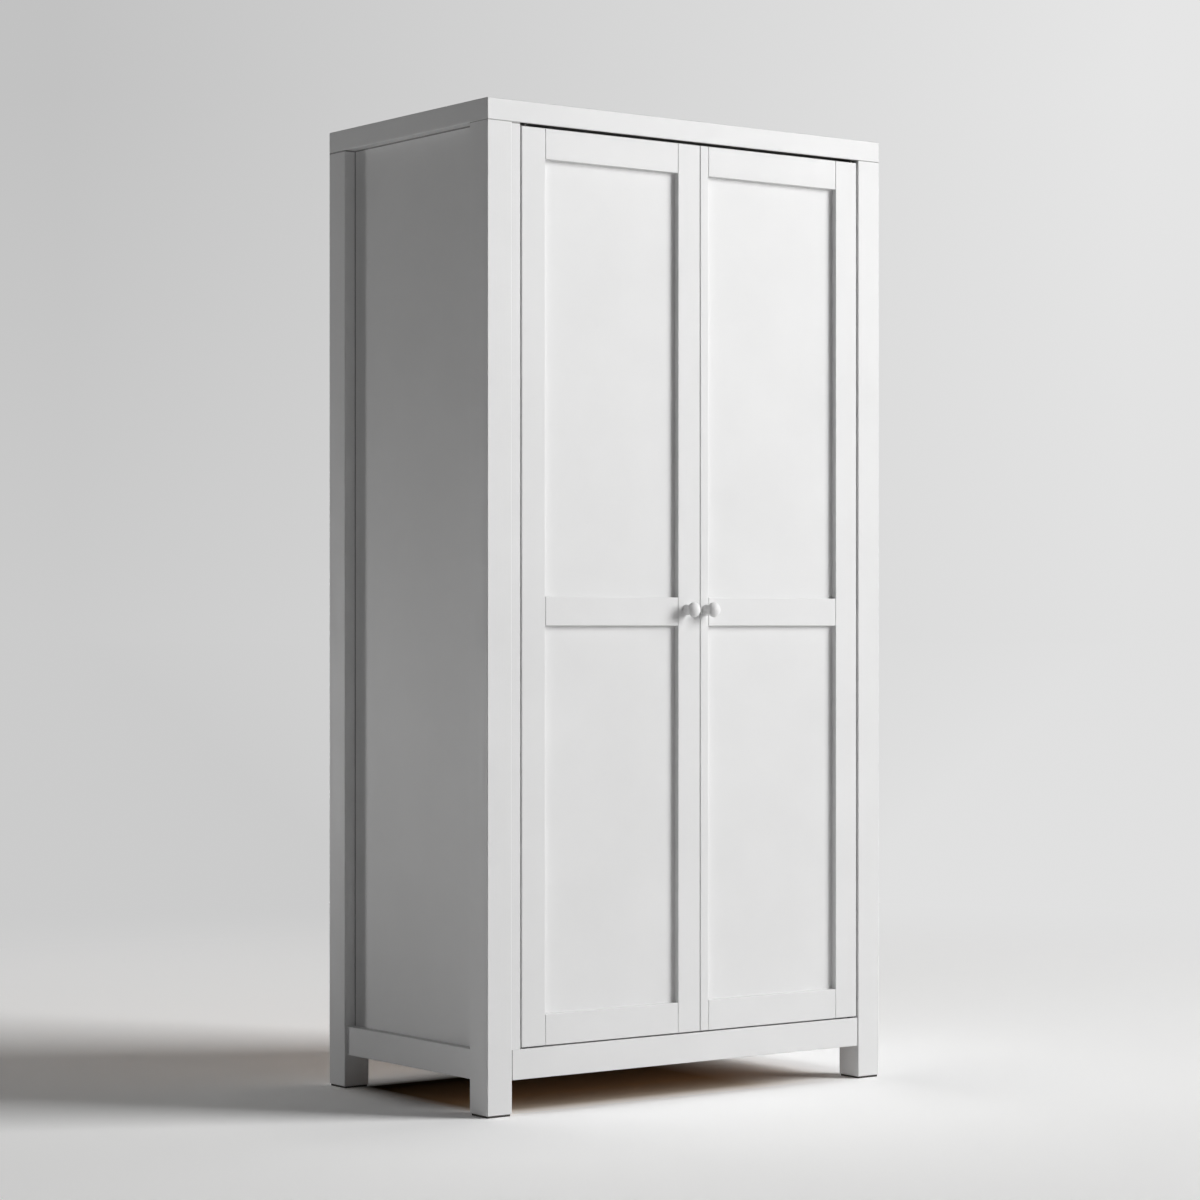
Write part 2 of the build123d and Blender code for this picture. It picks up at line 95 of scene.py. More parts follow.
UNDER_SHADE_LEFT_EDGE = (-0.50, -0.45)           # and along X
UNDER_SHADE_RIGHT_EDGE = (0.20, 0.49)
FLOOR_FADE_START = 1.7                     # distance from the wardrobe's middle where the floor starts fading
FLOOR_FADE_END = 4.6                       # distance where only the backdrop is left

# Backdrop, each as the left and the right colour
BACKDROP_LOW = ((0.60, 0.60, 0.60, 1), (0.75, 0.75, 0.75, 1))      # at the floor
BACKDROP_HIGH = ((0.54, 0.54, 0.54, 1), (0.79, 0.79, 0.79, 1))     # above the wardrobe
BACKDROP_SPAN = 0.16                       # sine of the angle off the camera's line where it stops changing

# Paint
PAINT_PALE = (0.82, 0.82, 0.82, 1)
PAINT_DEEP = (0.79, 0.79, 0.79, 1)
PAINT_ROUGHNESS = (0.42, 0.54)
PAINT_GLOSS = 0.36
DUST_ROUGHNESS = 0.42                      # added by a dull film of dust on the slab's upper face
GAP_SHADE_STRIP = (0.045, 0.04, 0.035, 1)       # painted shade: the slab's underside over the doors is near black, which stands in for the shade in the gap there
GAP_SHADE_STRIP_DEPTH = 0.034                   # how far that painted shade reaches back from the slab's front
GAP_SHADE_STRIP_INSET = 0.002
JOINT_SHADE = (0.30, 0.295, 0.29, 1)        # painted shade: dark lines where parts meet, which stand in for the shade in their open joints
JOINT_SHADE_WIDTH = 0.0030                       # widths of those painted shade lines: at the front rail's left end, and under the slab
FINE_JOINT_SHADE_WIDTH = 0.0010                  # under the slab, on the front posts
PANEL_JOINT_SHADE_WIDTH = 0.0045                 # between the side panels and the rear posts
BROAD_SIDE = 0.2                           # a piece whose second side is longer is a board and no bar
SHORT_BAR = 0.1                            # a piece whose longest side is shorter shows no brush drag
FACING_LIMIT = 0.7                         # how far a face's normal reaches along the axis it looks along

# Board, beech, metal and plastic
BOARD_PALE = (0.36, 0.20, 0.095, 1)
BOARD_DEEP = (0.24, 0.12, 0.05, 1)
BOARD_ROUGHNESS = (0.45, 0.80)             # painted and raw
BOARD_CLOUDED = 0.25                       # the most that the darker clouds cover
BEECH_PALE = (0.68, 0.50, 0.33, 1)
BEECH_DEEP = (0.50, 0.34, 0.20, 1)
BEECH_ROUGHNESS = (0.50, 0.65)
BRIGHT_RAIL = {"colour": (0.80, 0.80, 0.81), "roughness": (0.10, 0.18), "scale": 900.0, "grain": "x"}
ZINC = {"colour": (0.62, 0.62, 0.61), "roughness": (0.30, 0.45), "scale": 700.0, "grain": "none"}
# painted shade: near black zinc for the pivots, which stands in for the shade in the gap over the doors
PIVOT_SHADE_ZINC = {"colour": (0.09, 0.085, 0.08), "roughness": (0.40, 0.55), "scale": 700.0, "grain": "none"}
METAL_SHADE = 0.9                          # how much of the metal's colour its polishing lines keep
# painted shade: the nylon bushes are near black, so that they show as the shade in the gap over the doors
NYLON = {"pale": (0.055, 0.055, 0.055, 1), "deep": (0.04, 0.04, 0.04, 1), "roughness": 0.45, "scale": 900.0}
CATCH = {"pale": (0.83, 0.83, 0.81, 1), "deep": (0.79, 0.79, 0.77, 1), "roughness": 0.40, "scale": 1100.0}
GLIDE = {"pale": (0.07, 0.065, 0.06, 1), "deep": (0.035, 0.03, 0.028, 1), "roughness": 0.85, "scale": 1500.0}
PLASTIC_SPREAD = 0.06                      # how far the roughness goes up and down

# Grain: the scale, detail and roughness of each noise; metals and plastics have their own scales
NOISE_START, NOISE_END = 0.3, 0.7          # the middle values of a noise, which are spread over a whole range
PAINT_DRIFT = (5.0, 3.0, 0.5)
PAINT_DRAG = (260.0, 3.0, 0.6)
PAINT_PEBBLE = (700.0, 2.0, 0.5)
BOARD_FIBRE = (420.0, 4.0, 0.7)
BOARD_CLOUD = (9.0, 3.0, 0.5)
BEECH_GRAIN = (380.0, 4.0, 0.65)
FINE_GRAIN = (3.0, 0.6)                    # detail and roughness in metals and plastics
DRAWN_OUT = 0.03                           # scale along the grain, which draws a noise out into lines
ALONG = {
    "x": (DRAWN_OUT, 1.0, 1.0),
    "y": (1.0, DRAWN_OUT, 1.0),
    "z": (1.0, 1.0, DRAWN_OUT),
    "none": (1.0, 1.0, 1.0),
}

# Bumps: depth and strength
DRAG_BUMP = (0.0006, 0.12)
PEBBLE_BUMP = (0.0004, 0.10)
FIBRE_BUMP = (0.0005, 0.20)
METAL_BUMP = (0.0002, 0.08)
PLASTIC_BUMP = (0.0003, 0.25)

# Screw heads
SCREW_SIDES = 24
SCREW_RIM_ROUND = 0.0004
SCREW_RIM_STEPS = 3
SCREW_RIM_DROP = 0.45                      # how far the rim lies below the crown, as a share of the height
CROSS_REACH = 0.58                         # half the width of the cross recess, as a share of the radius
CROSS_CORNER = 0.2                         # cells further out than this on both axes are no part of the cross
CROSS_TAPER = 0.7                          # size of the recess's floor, as a share of its mouth
PAN_HEAD = {"radius": 0.0040, "height": 0.0020, "recess": 0.0012}
SMALL_HEAD = {"radius": 0.0030, "height": 0.0016, "recess": 0.0010}
FLUSH_HEAD = {"radius": 0.0019, "height": 0.0012, "recess": 0.0006}
KNOB_HEAD = {"radius": 0.0039, "height": 0.0014, "recess": 0.0010}
FLUSH_SINK = 0.0002                        # how far the top of a flush head lies below its plate
ANGLE_HALF_SPACING = 0.25
ANGLE_HALF_LEG = 0.019
ANGLE_THICKNESS = 0.002
SOCKET_HOLE_REACH = 0.0205
SOCKET_FLANGE = 0.004
STRIKE_HALF_SPACING = 0.013
CATCH_SCREW_REACH = 0.016

# Steel plates in the catches
POLE_LENGTH = 0.030
POLE_HEIGHT = 0.0022
POLE_PROUD = 0.00015
POLE_DEPTH = 0.001
POLE_HALF_SPACING = 0.0034
POLE_EDGE_STEPS = 2


# Node helpers
def new_material(name):
    """An empty node material with its Principled shader already linked to the output."""
    material = bpy.data.materials.new(name)
    material.use_nodes = True
    tree = material.node_tree
    return material, tree, tree.nodes["Principled BSDF"]


def add(tree, kind, links=(), **settings):
    """Adds one node; settings name its inputs or properties, links its linked inputs."""
    made = tree.nodes.new(kind)
    for key, value in settings.items():
        if key in made.inputs:
            made.inputs[key].default_value = value
        else:
            setattr(made, key, value)
    for socket, source in dict(links).items():
        tree.links.new(source, made.inputs[socket])
    return made


def object_place(tree, stretch=ALONG["none"]):
    """Object coordinates, stretched along a direction where the finish has one."""
    place = add(tree, "ShaderNodeTexCoord").outputs["Object"]
    return add(tree, "ShaderNodeMapping", {"Vector": place}, Scale=stretch).outputs["Vector"]


def noise(tree, place, scale, detail, roughness):
    """An even noise at a place."""
    made = add(tree, "ShaderNodeTexNoise", {"Vector": place}, Scale=scale, Detail=detail, Roughness=roughness)
    return made.outputs["Fac"]


def ranged(tree, value, low, high, start=NOISE_START, end=NOISE_END, shape="LINEAR"):
    """Spreads the values from start to end, else a noise's middle values, over the span from low to high."""
    made = add(tree, "ShaderNodeMapRange", {"Value": value}, interpolation_type=shape)
    for socket, number in zip(("From Min", "From Max", "To Min", "To Max"), (start, end, low, high)):
        made.inputs[socket].default_value = number
    return made.outputs["Result"]


def mixed(tree, share, first, second):
    """A colour between two, each a fixed colour or a linked one."""
    made = add(tree, "ShaderNodeMix", data_type="RGBA")
    tree.links.new(share, made.inputs["Factor"])
    for socket, colour in ((made.inputs[6], first), (made.inputs[7], second)):
        if isinstance(colour, tuple):
            socket.default_value = colour
        else:
            tree.links.new(colour, socket)
    return made.outputs[2]


def bumped(tree, height, distance, strength, below=None):
    """The normal of a surface with a fine relief, which may lie over another one."""
    made = add(tree, "ShaderNodeBump", {"Height": height}, Strength=strength, Distance=distance)
    if below is not None:
        tree.links.new(below, made.inputs["Normal"])
    return made.outputs["Normal"]


def math_of(tree, operation, first, second=None):
    """One sum of a linked value and a linked or fixed one."""
    made = add(tree, "ShaderNodeMath", {0: first}, operation=operation)
    if isinstance(second, float):
        made.inputs[1].default_value = second
    elif second is not None:
        tree.links.new(second, made.inputs[1])
    return made.outputs[0]


def product(tree, first, *others):
    """All the values multiplied."""
    for other in others:
        first = math_of(tree, "MULTIPLY", first, other)
    return first


def object_axis(tree, axis):
    """How far a point lies along one of the object's axes."""
    place = add(tree, "ShaderNodeTexCoord").outputs["Object"]
    return add(tree, "ShaderNodeSeparateXYZ", {"Vector": place}).outputs[axis]


def between(tree, value, start, end):
    """1 where a value lies between two limits, else 0."""
    above = math_of(tree, "GREATER_THAN", value, start)
    below = math_of(tree, "LESS_THAN", value, end)
    return product(tree, above, below)


def faces_along(tree, axis, sign):
    """1 on the faces that look along sign times axis, else 0."""
    facing = add(tree, "ShaderNodeTexCoord").outputs["Normal"]
    part = add(tree, "ShaderNodeSeparateXYZ", {"Vector": facing}).outputs[axis]
    return math_of(tree, "GREATER_THAN", product(tree, part, sign), FACING_LIMIT)


# Finishes
def paint_colour(tree):
    """White paint whose tone drifts a little over a hand's breadth."""
    drift = noise(tree, object_place(tree), *PAINT_DRIFT)
    return mixed(tree, ranged(tree, drift, 0.0, 1.0), PAINT_DEEP, PAINT_PALE)


def white_paint(name, grain):
    """Satin white paint: brush drag along the wood's grain over the fine pebble of a sprayed coat."""
    material, tree, shader = new_material(name)
    drag = noise(tree, object_place(tree, ALONG[grain]), *PAINT_DRAG)
    pebble = noise(tree, object_place(tree), *PAINT_PEBBLE)
    relief = bumped(tree, pebble, *PEBBLE_BUMP, below=bumped(tree, drag, *DRAG_BUMP))
    tree.links.new(paint_colour(tree), shader.inputs["Base Color"])
    tree.links.new(ranged(tree, drag, *PAINT_ROUGHNESS), shader.inputs["Roughness"])
    tree.links.new(relief, shader.inputs["Normal"])
    shader.inputs["Specular IOR Level"].default_value = PAINT_GLOSS
    return material, tree, shader


def paint_over(tree, shader, share, colour):
    """Covers a share of a finish with another colour."""
    socket = shader.inputs["Base Color"]
    tree.links.new(mixed(tree, share, socket.links[0].from_socket, colour), socket)


def slab_paint(name):
    """The slab's paint, dull on the upper face, with a dark strip of painted shade on the underside over the
    doors.
    """
    material, tree, shader = white_paint(name, "x")
    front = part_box("top_panel")[0].y
    left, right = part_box("front_left_post")[1].x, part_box("front_right_post")[0].x
    across = between(tree, object_axis(tree, "X"), left, right)
    back = between(tree, object_axis(tree, "Y"), front + GAP_SHADE_STRIP_INSET, front + GAP_SHADE_STRIP_DEPTH)
    # painted shade: the strip over the doors stands in for the shade in the gap above them
    paint_over(tree, shader, product(tree, across, back, faces_along(tree, "Z", -1.0)), GAP_SHADE_STRIP)
    dust = product(tree, faces_along(tree, "Z", 1.0), DUST_ROUGHNESS)
    rough = shader.inputs["Roughness"]
    tree.links.new(math_of(tree, "ADD", rough.links[0].from_socket, dust), rough)
    return material


def joint_shaded_paint(name, grain, *joints):
    """White paint with dark lines of painted shade along its open joints; each is an axis, a test and the
    limit along that axis.
    """
    material, tree, shader = white_paint(name, grain)
    for axis, test, limit in joints:
        # painted shade: a dark line along each joint
        paint_over(tree, shader, math_of(tree, test, object_axis(tree, axis), limit), JOINT_SHADE)
    return material


def faced_board(name, axis, sign):
    """White painted board with raw brown fibres on the face that looks along sign times axis."""
    material, tree, shader = new_material(name)
    place = object_place(tree)
    fibre, cloud = noise(tree, place, *BOARD_FIBRE), noise(tree, place, *BOARD_CLOUD)
    raw = mixed(tree, ranged(tree, fibre, 0.0, 1.0), BOARD_DEEP, BOARD_PALE)
    raw = mixed(tree, ranged(tree, cloud, 0.0, BOARD_CLOUDED), raw, BOARD_DEEP)
    is_raw = faces_along(tree, axis, sign)
    tree.links.new(mixed(tree, is_raw, paint_colour(tree), raw), shader.inputs["Base Color"])
    tree.links.new(ranged(tree, is_raw, *BOARD_ROUGHNESS, 0.0, 1.0), shader.inputs["Roughness"])
    tree.links.new(bumped(tree, fibre, *FIBRE_BUMP), shader.inputs["Normal"])
    return material


def plated_metal(name, colour, roughness, scale, grain):
    """Plated steel with faint polishing lines."""
    material, tree, shader = new_material(name)
    line = noise(tree, object_place(tree, ALONG[grain]), scale, *FINE_GRAIN)
    pale, deep = (*colour, 1), (*(METAL_SHADE * part for part in colour), 1)
    tree.links.new(mixed(tree, ranged(tree, line, 0.0, 1.0), pale, deep), shader.inputs["Base Color"])
    tree.links.new(ranged(tree, line, *roughness), shader.inputs["Roughness"])
    tree.links.new(bumped(tree, line, *METAL_BUMP), shader.inputs["Normal"])
    shader.inputs["Metallic"].default_value = 1.0
    return material


def moulded_plastic(name, pale, deep, roughness, scale):
    """Moulded plastic or pressed felt with a fine grain."""
    material, tree, shader = new_material(name)
    grain = noise(tree, object_place(tree), scale, *FINE_GRAIN)
    rough = ranged(tree, grain, roughness - PLASTIC_SPREAD, roughness + PLASTIC_SPREAD)
    tree.links.new(mixed(tree, ranged(tree, grain, 0.0, 1.0), deep, pale), shader.inputs["Base Color"])
    tree.links.new(rough, shader.inputs["Roughness"])
    tree.links.new(bumped(tree, grain, *PLASTIC_BUMP), shader.inputs["Normal"])
    return material


def bare_beech(name):
    """Unpainted beech whose grain runs upright."""
    material, tree, shader = new_material(name)
    grain = noise(tree, object_place(tree, ALONG["z"]), *BEECH_GRAIN)
    colour = mixed(tree, ranged(tree, grain, 0.0, 1.0), BEECH_DEEP, BEECH_PALE)
    tree.links.new(colour, shader.inputs["Base Color"])
    tree.links.new(ranged(tree, grain, *BEECH_ROUGHNESS), shader.inputs["Roughness"])
    return material


under_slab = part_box("top_panel")[0].z
rail_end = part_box("front_left_post")[1].x
rear_post_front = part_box("rear_left_post")[0].y
# Where the paints below carry their painted shade lines at the joints
wide_slab_joint_shade = ("Z", "GREATER_THAN", under_slab - JOINT_SHADE_WIDTH)
fine_slab_joint_shade = ("Z", "GREATER_THAN", under_slab - FINE_JOINT_SHADE_WIDTH)
rail_joint_shade = ("X", "LESS_THAN", rail_end + JOINT_SHADE_WIDTH)
panel_joint_shade = ("Y", "GREATER_THAN", rear_post_front - PANEL_JOINT_SHADE_WIDTH)

paint = {grain: white_paint(f"white_paint_{grain}", grain)[0] for grain in ALONG}
slab_finish = slab_paint("slab_paint")
front_rail_shaded_finish = joint_shaded_paint("front_rail_shaded_paint", "x", rail_joint_shade)
wide_joint_shaded_finish = joint_shaded_paint("wide_joint_shaded_paint", "z", wide_slab_joint_shade)
fine_joint_shaded_finish = joint_shaded_paint("fine_joint_shaded_paint", "z", fine_slab_joint_shade)
side_panel_shaded_finish = joint_shaded_paint("side_panel_shaded_paint", "none", wide_slab_joint_shade, panel_joint_shade)
zinc_finish = plated_metal("zinc_finish", **ZINC)
pivot_shade_finish = plated_metal("pivot_shade_zinc_finish", **PIVOT_SHADE_ZINC)

SLOT_FINISH = {
    "floor_board": faced_board("floor_board_finish", "Z", -1.0),
    "back_board": faced_board("back_board_finish", "Y", 1.0),
    "bright_rail": plated_metal("bright_rail_finish", **BRIGHT_RAIL),
    "zinc_steel": zinc_finish,
    "bush_plastic": moulded_plastic("nylon_finish", **NYLON),
    "catch_plastic": moulded_plastic("catch_finish", **CATCH),
    "dark_glide": moulded_plastic("glide_finish", **GLIDE),
    "dowel_wood": bare_beech("beech_finish"),
}
NODE_FINISH = {
    "top_panel": slab_finish,
    "front_lower_rail": front_rail_shaded_finish,
    "hinge_strip": wide_joint_shaded_finish,
    "rear_left_post": wide_joint_shaded_finish,
    "rear_right_post": wide_joint_shaded_finish,
    "left_side_panel": side_panel_shaded_finish,
    "right_side_panel": side_panel_shaded_finish,
    "front_left_post": fine_joint_shaded_finish,
    "front_right_post": fine_joint_shaded_finish,
}
for door in DOORS:
    for level in ("upper", "lower"):
        # Painted shade: the pivots are near black, so that no pin shines in the gap over the doors, which
        # stays dark
        NODE_FINISH[f"{door}_{level}_pivot"] = pivot_shade_finish


def paint_for(node):
    """The paint whose drag runs along a bar's longest side, or a plain coat on a board or a small piece."""
    low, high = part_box(node)
    size = high - low
    longest = max(range(3), key=lambda i: size[i])
    plain = sorted(size)[1] > BROAD_SIDE or size[longest] < SHORT_BAR
    return paint["none" if plain else "xyz"[longest]]


def dress(node, slot):
    """Gives a node its own finish, its slot's finish or the paint for its shape."""
    mesh = nodes[node].data
    mesh.materials.clear()
    mesh.materials.append(NODE_FINISH.get(node) or SLOT_FINISH.get(slot) or paint_for(node))


for part in frame["record"]["subparts"]:
    dress(part["node"], part["material_slot"])


# Small pieces
def to_mesh(name, shape):
    """Turns a finished bmesh into a mesh."""
    mesh = bpy.data.meshes.new(name)
    shape.to_mesh(mesh)
    shape.free()
    return mesh


def screw_head(radius, height, recess):
    """A mesh of one round screw head with a cross recess, which stands on z = 0 and looks along +Z."""
    shape = bmesh.new()
    bmesh.ops.create_circle(shape, segments=SCREW_SIDES, radius=radius)
    rim, rim_edges = list(shape.verts), list(shape.edges)
    grid = bmesh.ops.create_grid(shape, x_segments=3, y_segments=3, size=CROSS_REACH * radius)["verts"]
    limit = CROSS_CORNER * radius
    cells = {face for vert in grid for face in vert.link_faces}
    corners = [face for face in cells if all(abs(c) > limit for c in face.calc_center_median()[:2])]
    bmesh.ops.delete(shape, geom=corners, context="FACES")
    cross = list(shape.faces)
    cross_rim = [edge for edge in shape.edges if edge.is_boundary]
    bmesh.ops.bridge_loops(shape, edges=rim_edges + cross_rim)
    sunk = bmesh.ops.extrude_face_region(shape, geom=cross)["geom"]
    floor = [item for item in sunk if isinstance(item, bmesh.types.BMVert)]
    bmesh.ops.translate(shape, verts=floor, vec=(0, 0, -recess))
    bmesh.ops.scale(shape, verts=floor, vec=(CROSS_TAPER, CROSS_TAPER, 1))
    bmesh.ops.translate(shape, verts=rim, vec=(0, 0, -SCREW_RIM_DROP * height))
    skirt = bmesh.ops.extrude_edge_only(shape, edges=rim_edges)["geom"]
    foot = [item for item in skirt if isinstance(item, bmesh.types.BMVert)]
    foot_edges = [item for item in skirt if isinstance(item, bmesh.types.BMEdge)]
    bmesh.ops.translate(shape, verts=foot, vec=(0, 0, -(1 - SCREW_RIM_DROP) * height))
    bmesh.ops.holes_fill(shape, edges=foot_edges, sides=SCREW_SIDES)
    bmesh.ops.bevel(shape, geom=rim_edges, offset=SCREW_RIM_ROUND, offset_type="OFFSET",
                    segments=SCREW_RIM_STEPS, profile=0.5, affect="EDGES", material=-1)
    bmesh.ops.translate(shape, verts=shape.verts, vec=(0, 0, height))
    bmesh.ops.recalc_face_normals(shape, faces=shape.faces)
    return to_mesh("screw_head", shape)


def add_object(name, shape, finish):
    """Turns a finished bmesh into an object with one finish."""
    mesh = to_mesh(name, shape)
    mesh.materials.append(finish)
    made = bpy.data.objects.new(name, mesh)
    scene.collection.objects.link(made)
    return made


def add_steel(name, shape, body):
    """Turns a finished bmesh into a zinc plated piece that rides on a body."""
    piece = add_object(name, shape, zinc_finish)
    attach(piece, body)


def add_screws(name, body, head, seats):
    """Screw heads of one kind; each seat is the middle of the head's underside and the way that it looks."""
    pattern = screw_head(**head)
    shape = bmesh.new()
    for place, way in seats:
        before = len(shape.verts)
        shape.from_mesh(pattern)
        turn = Vector((0, 0, 1)).rotation_difference(Vector(way)).to_matrix().to_4x4()
        bmesh.ops.transform(shape, matrix=Matrix.Translation(place) @ turn, verts=shape.verts[before:])
    bpy.data.meshes.remove(pattern)
    add_steel(name, shape, body)


def box_and_middle(node):
    """The low and the high corner of a node's box, and its middle."""
    low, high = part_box(node)
    return low, high, (low + high) / 2


def angle_seats():
    """Two screws in each of the four angles: one into the upper rail, one up into the slab."""
    faces = ((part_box("front_upper_rail")[1].y, 1), (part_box("rear_upper_rail")[0].y, -1))
    for x in (-ANGLE_HALF_SPACING, ANGLE_HALF_SPACING):
        for face, inward in faces:
            yield (x, face + inward * ANGLE_THICKNESS, under_slab - ANGLE_HALF_LEG), (0, inward, 0)
            yield (x, face + inward * ANGLE_HALF_LEG, under_slab - ANGLE_THICKNESS), (0, 0, -1)


def socket_seats():
    """One screw above and one below the cup of each socket of the clothes rail."""
    for side, inward in zip(SIDES, (1, -1)):
        low, high, middle = box_and_middle(f"{side}_rail_socket")
        face = (low.x if inward > 0 else high.x) + inward * SOCKET_FLANGE
        for way in (-1, 1):
            yield (face, middle.y, middle.z + way * SOCKET_HOLE_REACH), (inward, 0, 0)


def strike_seats(door):
    """Two flush screws in a door's strike plate, clear of the catch."""
    _, high, middle = box_and_middle(f"{door}_strike_plate")
    seat = high.y - FLUSH_SINK - FLUSH_HEAD["height"]
    for way in (-1, 1):
        yield (middle.x + way * STRIKE_HALF_SPACING, seat, middle.z), (0, 1, 0)


def catch_seats():
    """Two screws up through each catch."""
    for side in SIDES:
        low, _, middle = box_and_middle(f"{side}_catch")
        for way in (-1, 1):
            yield (middle.x + way * CATCH_SCREW_REACH, middle.y, low.z), (0, 0, -1)


def knob_screw_seat(door):
    """The recessed face on the head of a knob's screw, on the inside of the door."""
    _, high, middle = box_and_middle(f"{door}_knob_screw")
    yield (middle.x, high.y, middle.z), (0, 1, 0)


def add_catch_poles(side):
    """The two steel plates in the face of a magnetic catch."""
    low, _, middle = box_and_middle(f"{side}_catch")
    front = low.y - POLE_PROUD + POLE_DEPTH / 2
    shape = bmesh.new()
    for way in (-1, 1):
        plate = bmesh.ops.create_cube(shape, size=1.0)["verts"]
        edges = list({edge for vert in plate for edge in vert.link_edges})
        bmesh.ops.scale(shape, verts=plate, vec=(POLE_LENGTH, POLE_DEPTH, POLE_HEIGHT))
        bmesh.ops.translate(shape, verts=plate, vec=(middle.x, front, middle.z + way * POLE_HALF_SPACING))
        bmesh.ops.bevel(shape, geom=edges, offset=POLE_PROUD, offset_type="OFFSET",
                        segments=POLE_EDGE_STEPS, profile=0.5, affect="EDGES", material=-1)
    bmesh.ops.recalc_face_normals(shape, faces=shape.faces)
    add_steel(f"{side}_catch_poles", shape, "carcass")


add_screws("angle_screws", "carcass", PAN_HEAD, angle_seats())
add_screws("socket_screws", "carcass", PAN_HEAD, socket_seats())
add_screws("catch_screws", "carcass", SMALL_HEAD, catch_seats())
for door in DOORS:
    add_screws(f"{door}_strike_screws", door, FLUSH_HEAD, strike_seats(door))
    add_screws(f"{door}_knob_screw_face", door, KNOB_HEAD, knob_screw_seat(door))
for side in SIDES:
    add_catch_poles(side)


# Stage
def shown_ray(tree, rays):
    """1 for a ray from the camera or off a shiny piece, else 0."""
    return math_of(tree, "MAXIMUM", rays["Is Camera Ray"], rays["Is Glossy Ray"])


def along_way(tree, vector, way):
    """How far a vector reaches along a fixed way."""
    reach = add(tree, "ShaderNodeVectorMath", {0: vector}, operation="DOT_PRODUCT")
    reach.inputs[1].default_value = way
    return reach.outputs["Value"]


def backdrop_colour(tree, direction):
    """The backdrop's grey, which gets paler from left to right across the photograph's view."""
    yaw = math.radians(CAMERA_YAW)
    rightward = along_way(tree, direction, (math.cos(yaw), -math.sin(yaw), 0.0))
    rise = add(tree, "ShaderNodeSeparateXYZ", {"Vector": direction}).outputs["Z"]
    share = ranged(tree, rightward, 0.0, 1.0, -BACKDROP_SPAN, BACKDROP_SPAN)
    low, high = mixed(tree, share, *BACKDROP_LOW), mixed(tree, share, *BACKDROP_HIGH)
    return mixed(tree, ranged(tree, rise, 0.0, 1.0, 0.0, BACKDROP_SPAN), low, high)


def shade_under_wardrobe(tree, across, back):
    """1 on the floor under the wardrobe and 0 beside it, with soft edges: the mask of the painted shade
    there.
    """
    front = ranged(tree, back, 0.0, 1.0, *UNDER_SHADE_FRONT_EDGE)
    rear = ranged(tree, back, 1.0, 0.0, *UNDER_SHADE_REAR_EDGE)
    left = ranged(tree, across, 0.0, 1.0, *UNDER_SHADE_LEFT_EDGE)
    right = ranged(tree, across, 1.0, 0.0, *UNDER_SHADE_RIGHT_EDGE)
    return product(tree, front, rear, left, right)


def clear_of_wardrobe(tree, across, back):
    """0 on the floor close to the wardrobe's front half, rising to 1 some way off: the painted shade near the
    wardrobe, where the lift is left out.
    """
    outside = []
    for value, (start, end) in ((across, LIFT_SHUN_X), (back, LIFT_SHUN_Y)):
        away = math_of(tree, "ABSOLUTE", math_of(tree, "SUBTRACT", value, (start + end) / 2))
        outside.append(math_of(tree, "MAXIMUM", math_of(tree, "SUBTRACT", away, (end - start) / 2), 0.0))
    squares = [product(tree, value, value) for value in outside]
    distance = math_of(tree, "SQRT", math_of(tree, "ADD", *squares))
    return ranged(tree, distance, 0.0, 1.0, LIFT_NEAR, LIFT_FAR)


def seen_floor(tree, place, back, under):
    """The floor's colour for the camera: painted shade under the wardrobe, from a painted brown bounce off
    the raw board to dark, and pale elsewhere, paler away from the key lamp as painted light.
    """
    # painted shade under the wardrobe, with a painted brown bounce from the raw board over the middle
    brown = mixed(tree, ranged(tree, back, 0.0, 1.0, *UNDER_SHADE_STOPS[:2]), UNDER_SHADE_FRONT, UNDER_SHADE_MIDDLE)
    brown = mixed(tree, ranged(tree, back, 0.0, 1.0, *UNDER_SHADE_STOPS[1:]), brown, UNDER_SHADE_REAR)
    # painted light: paler away from the key lamp
    onward = ranged(tree, along_way(tree, place, FLOOR_SEEN_WAY), 0.0, 1.0, *FLOOR_SEEN_SPAN)
    return mixed(tree, under, mixed(tree, onward, FLOOR_SEEN_NEAR, FLOOR_SEEN_FAR), brown)


def near_floor(tree, place, camera_ray):
    """The matt floor round the wardrobe, with a faint glow for the camera alone, which is painted light that
    lifts the shadow and is left out near and under the wardrobe as painted shade.
    """
    parts = add(tree, "ShaderNodeSeparateXYZ", {"Vector": place}).outputs
    under = shade_under_wardrobe(tree, parts["X"], parts["Y"])
    colour = mixed(tree, camera_ray, FLOOR_COLOUR, seen_floor(tree, place, parts["Y"], under))
    # painted light: the lift, kept off the floor near and under the wardrobe, which paints shade there
    lift = mixed(tree, clear_of_wardrobe(tree, parts["X"], parts["Y"]), NO_LIGHT, FLOOR_LIFT)
    lift = mixed(tree, under, lift, NO_LIGHT)
    matt = add(tree, "ShaderNodeBsdfDiffuse", {"Color": colour})
    glow = add(tree, "ShaderNodeEmission", {"Color": lift, "Strength": camera_ray})
    return add(tree, "ShaderNodeAddShader", {0: matt.outputs[0], 1: glow.outputs[0]})


